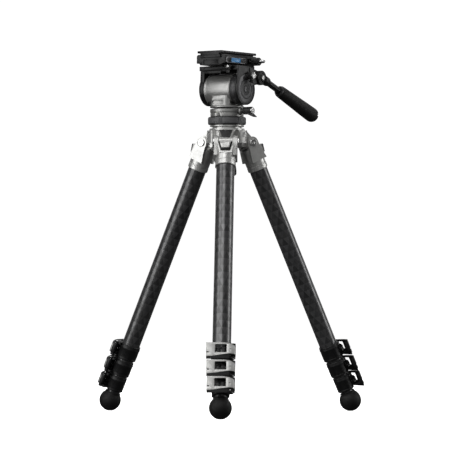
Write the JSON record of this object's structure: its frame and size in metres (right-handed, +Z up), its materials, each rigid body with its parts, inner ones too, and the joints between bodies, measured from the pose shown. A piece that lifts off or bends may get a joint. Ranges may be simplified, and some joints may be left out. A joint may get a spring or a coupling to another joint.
{
  "type": "video tripod",
  "caption": "Video tripod with carbon flip lock legs, a levelling base and a fluid pan and tilt head with a sliding plate and a pan handle.",
  "frame": {"origin": "middle of the footprint of the whole object, on the floor", "axes": "+Z up; -Y towards the front leg; the head is turned 32.5 degrees about Z, lens side towards -Y and -X"},
  "size_m": [0.4278, 0.3776, 0.57],
  "materials": {
    "titanium_grey_alloy": "satin, bead blasted",
    "black_anodised": "satin black anodised",
    "grey_plastic": "dark grey moulded",
    "carbon_tube": "clear coated carbon with a facet pattern",
    "bright_steel": "bright",
    "black_rubber": "matt",
    "black_plastic": "matt black moulded",
    "blue_plastic": "satin"
  },
  "bodies": {
    "stand": {"crown": "titanium_grey_alloy", "leg_1_pivot_bolt": "bright_steel", "leg_2_pivot_bolt": "bright_steel", "leg_3_pivot_bolt": "bright_steel"},
    "level_liner": {"level_liner": "grey_plastic"},
    "head_base": {"pan_base": "titanium_grey_alloy", "level_ball": "titanium_grey_alloy"},
    "level_handle": {"level_handle": "black_anodised"},
    "level_collar": {"level_collar": "black_anodised"},
    "pan_lock": {"pan_lock_knob": "black_anodised"},
    "pan_head": {"head_body": "titanium_grey_alloy"},
    "dial": {"counterbalance_dial": "grey_plastic"},
    "tilt_head": {"tilt_cradle": "black_anodised", "plate_clamp": "black_anodised"},
    "tilt_lock": {"tilt_lock_knob": "black_anodised"},
    "plate_lock": {"plate_lock_knob": "black_anodised"},
    "button": {"safety_button": "blue_plastic"},
    "plate": {"quick_release_plate": "black_anodised"},
    "screw": {"camera_screw": "bright_steel"},
    "pan_handle": {"handle_bar": "black_anodised", "handle_grip": "black_rubber"},
    "leg_1_top": {"leg_1_yoke": "titanium_grey_alloy", "leg_1_tube_1": "carbon_tube", "leg_1_clamp_1": "black_plastic"},
    "leg_1_catch": {"leg_1_angle_catch": "black_anodised"},
    "leg_1_second": {"leg_1_tube_2": "carbon_tube", "leg_1_clamp_2": "black_plastic"},
    "leg_1_third": {"leg_1_tube_3": "carbon_tube", "leg_1_clamp_3": "black_plastic"},
    "leg_1_fourth": {"leg_1_tube_4": "carbon_tube", "leg_1_foot": "black_rubber"},
    "leg_1_lever_1": {"leg_1_lever_1": "titanium_grey_alloy"},
    "leg_1_lever_2": {"leg_1_lever_2": "titanium_grey_alloy"},
    "leg_1_lever_3": {"leg_1_lever_3": "titanium_grey_alloy"},
    "leg_2_top": {"leg_2_yoke": "titanium_grey_alloy", "leg_2_tube_1": "carbon_tube", "leg_2_clamp_1": "black_plastic"},
    "leg_2_catch": {"leg_2_angle_catch": "black_anodised"},
    "leg_2_second": {"leg_2_tube_2": "carbon_tube", "leg_2_clamp_2": "black_plastic"},
    "leg_2_third": {"leg_2_tube_3": "carbon_tube", "leg_2_clamp_3": "black_plastic"},
    "leg_2_fourth": {"leg_2_tube_4": "carbon_tube", "leg_2_foot": "black_rubber"},
    "leg_2_lever_1": {"leg_2_lever_1": "titanium_grey_alloy"},
    "leg_2_lever_2": {"leg_2_lever_2": "titanium_grey_alloy"},
    "leg_2_lever_3": {"leg_2_lever_3": "titanium_grey_alloy"},
    "leg_3_top": {"leg_3_yoke": "titanium_grey_alloy", "leg_3_tube_1": "carbon_tube", "leg_3_clamp_1": "black_plastic"},
    "leg_3_catch": {"leg_3_angle_catch": "black_anodised"},
    "leg_3_second": {"leg_3_tube_2": "carbon_tube", "leg_3_clamp_2": "black_plastic"},
    "leg_3_third": {"leg_3_tube_3": "carbon_tube", "leg_3_clamp_3": "black_plastic"},
    "leg_3_fourth": {"leg_3_tube_4": "carbon_tube", "leg_3_foot": "black_rubber"},
    "leg_3_lever_1": {"leg_3_lever_1": "titanium_grey_alloy"},
    "leg_3_lever_2": {"leg_3_lever_2": "titanium_grey_alloy"},
    "leg_3_lever_3": {"leg_3_lever_3": "titanium_grey_alloy"}
  },
  "joints": [
    {"name": "pan", "type": "hinge", "parent": "head_base", "child": "pan_head", "pos_m": [-0.0021, 0.0513, 0.4776], "axis": [0, 0, 1], "continuous": true},
    {"name": "tilt", "type": "hinge", "parent": "pan_head", "child": "tilt_head", "pos_m": [-0.0021, 0.0513, 0.508], "axis": [0.8434, -0.5373, 0], "range_deg": [-38, 75]},
    {"name": "handle_angle", "type": "hinge", "parent": "tilt_head", "child": "pan_handle", "pos_m": [0.04714, 0.05787, 0.527], "axis": [-0.8434, 0.5373, 0], "range_deg": [-75, 40]},
    {"name": "plate_slide", "type": "slide", "parent": "tilt_head", "child": "plate", "axis": [0.5373, 0.8434, 0], "range_m": [-0.02, 0.02]},
    {"name": "level_tilt_x", "type": "hinge", "parent": "stand", "child": "level_liner", "pos_m": [-0.0021, 0.0513, 0.449], "axis": [1, 0, 0], "range_deg": [-4, 4]},
    {"name": "level_tilt_y", "type": "hinge", "parent": "level_liner", "child": "head_base", "pos_m": [-0.0021, 0.0513, 0.449], "axis": [0, 1, 0], "range_deg": [-4, 4]},
    {"name": "tilt_lock_turn", "type": "hinge", "parent": "tilt_head", "child": "tilt_lock", "pos_m": [0.00112, 0.05636, 0.529], "axis": [0.8434, -0.5373, 0], "range_deg": [-60, 0]},
    {"name": "pan_lock_turn", "type": "hinge", "parent": "head_base", "child": "pan_lock", "pos_m": [-0.0021, 0.0513, 0.4742], "axis": [0.8434, -0.5373, 0], "range_deg": [-60, 0]},
    {"name": "plate_lock_turn", "type": "hinge", "parent": "tilt_head", "child": "plate_lock", "pos_m": [0.01348, 0.07576, 0.5525], "axis": [0.8434, -0.5373, 0], "range_deg": [0, 180]},
    {"name": "safety_button_press", "type": "slide", "parent": "tilt_head", "child": "button", "axis": [-0.8434, 0.5373, 0], "range_m": [0, 0.0018], "stiffness_N_per_m": 400},
    {"name": "camera_screw_turn", "type": "hinge", "parent": "plate", "child": "screw", "pos_m": [0.00349, 0.06007, 0.567], "axis": [0, 0, 1], "continuous": true},
    {"name": "counterbalance_turn", "type": "hinge", "parent": "pan_head", "child": "dial", "pos_m": [-0.0021, 0.0513, 0.508], "axis": [0.8434, -0.5373, 0], "range_deg": [0, 120]},
    {"name": "level_collar_turn", "type": "hinge", "parent": "head_base", "child": "level_collar", "pos_m": [-0.0021, 0.0513, 0.459], "axis": [0, 0, 1], "range_deg": [0, 30]},
    {"name": "level_handle_turn", "type": "hinge", "parent": "head_base", "child": "level_handle", "pos_m": [-0.0021, 0.0513, 0.4], "axis": [0, 0, 1], "range_deg": [0, 180]},
    {"name": "leg_1_spread", "type": "hinge", "parent": "stand", "child": "leg_1_top", "pos_m": [-0.0021, 0.0147, 0.4254], "axis": [-1, 0, 0], "range_deg": [-20, 55]},
    {"name": "leg_1_catch_slide", "type": "slide", "parent": "leg_1_top", "child": "leg_1_catch", "axis": [0, -0.4147, -0.91], "range_m": [0, 0.005], "stiffness_N_per_m": 300},
    {"name": "leg_1_extend_1", "type": "slide", "parent": "leg_1_top", "child": "leg_1_second", "axis": [0, -0.4147, -0.91], "range_m": [0, 0.3]},
    {"name": "leg_1_extend_2", "type": "slide", "parent": "leg_1_second", "child": "leg_1_third", "axis": [0, -0.4147, -0.91], "range_m": [0, 0.3]},
    {"name": "leg_1_extend_3", "type": "slide", "parent": "leg_1_third", "child": "leg_1_fourth", "axis": [0, -0.4147, -0.91], "range_m": [0, 0.3]},
    {"name": "leg_2_spread", "type": "hinge", "parent": "stand", "child": "leg_2_top", "pos_m": [0.0296, 0.0696, 0.4254], "axis": [0.5, -0.866, 0], "range_deg": [-20, 55]},
    {"name": "leg_2_catch_slide", "type": "slide", "parent": "leg_2_top", "child": "leg_2_catch", "axis": [0.3591, 0.2073, -0.91], "range_m": [0, 0.005], "stiffness_N_per_m": 300},
    {"name": "leg_2_extend_1", "type": "slide", "parent": "leg_2_top", "child": "leg_2_second", "axis": [0.3591, 0.2073, -0.91], "range_m": [0, 0.3]},
    {"name": "leg_2_extend_2", "type": "slide", "parent": "leg_2_second", "child": "leg_2_third", "axis": [0.3591, 0.2073, -0.91], "range_m": [0, 0.3]},
    {"name": "leg_2_extend_3", "type": "slide", "parent": "leg_2_third", "child": "leg_2_fourth", "axis": [0.3591, 0.2073, -0.91], "range_m": [0, 0.3]},
    {"name": "leg_3_spread", "type": "hinge", "parent": "stand", "child": "leg_3_top", "pos_m": [-0.0338, 0.0696, 0.4254], "axis": [0.5, 0.866, 0], "range_deg": [-20, 55]},
    {"name": "leg_3_catch_slide", "type": "slide", "parent": "leg_3_top", "child": "leg_3_catch", "axis": [-0.3591, 0.2073, -0.91], "range_m": [0, 0.005], "stiffness_N_per_m": 300},
    {"name": "leg_3_extend_1", "type": "slide", "parent": "leg_3_top", "child": "leg_3_second", "axis": [-0.3591, 0.2073, -0.91], "range_m": [0, 0.3]},
    {"name": "leg_3_extend_2", "type": "slide", "parent": "leg_3_second", "child": "leg_3_third", "axis": [-0.3591, 0.2073, -0.91], "range_m": [0, 0.3]},
    {"name": "leg_3_extend_3", "type": "slide", "parent": "leg_3_third", "child": "leg_3_fourth", "axis": [-0.3591, 0.2073, -0.91], "range_m": [0, 0.3]},
    {"name": "leg_1_flip_1", "type": "hinge", "parent": "leg_1_top", "child": "leg_1_lever_1", "pos_m": [0.0167, -0.14962, 0.10148], "axis": [0, 0.4147, 0.91], "range_deg": [0, 110]},
    {"name": "leg_1_flip_2", "type": "hinge", "parent": "leg_1_second", "child": "leg_1_lever_2", "pos_m": [0.0167, -0.16128, 0.07591], "axis": [0, 0.4147, 0.91], "range_deg": [0, 110]},
    {"name": "leg_1_flip_3", "type": "hinge", "parent": "leg_1_third", "child": "leg_1_lever_3", "pos_m": [0.0167, -0.17252, 0.05125], "axis": [0, 0.4147, 0.91], "range_deg": [0, 110]},
    {"name": "leg_2_flip_1", "type": "hinge", "parent": "leg_2_top", "child": "leg_2_lever_1", "pos_m": [0.16251, 0.16804, 0.10148], "axis": [-0.3591, -0.2073, 0.91], "range_deg": [0, 110]},
    {"name": "leg_2_flip_2", "type": "hinge", "parent": "leg_2_second", "child": "leg_2_lever_2", "pos_m": [0.1726, 0.17387, 0.07591], "axis": [-0.3591, -0.2073, 0.91], "range_deg": [0, 110]},
    {"name": "leg_2_flip_3", "type": "hinge", "parent": "leg_2_third", "child": "leg_2_lever_3", "pos_m": [0.18233, 0.17949, 0.05125], "axis": [-0.3591, -0.2073, 0.91], "range_deg": [0, 110]},
    {"name": "leg_3_flip_1", "type": "hinge", "parent": "leg_3_top", "child": "leg_3_lever_1", "pos_m": [-0.18551, 0.13548, 0.10148], "axis": [0.3591, -0.2073, 0.91], "range_deg": [0, 110]},
    {"name": "leg_3_flip_2", "type": "hinge", "parent": "leg_3_second", "child": "leg_3_lever_2", "pos_m": [-0.1956, 0.14131, 0.07591], "axis": [0.3591, -0.2073, 0.91], "range_deg": [0, 110]},
    {"name": "leg_3_flip_3", "type": "hinge", "parent": "leg_3_third", "child": "leg_3_lever_3", "pos_m": [-0.20533, 0.14693, 0.05125], "axis": [0.3591, -0.2073, 0.91], "range_deg": [0, 110]}
  ]
}
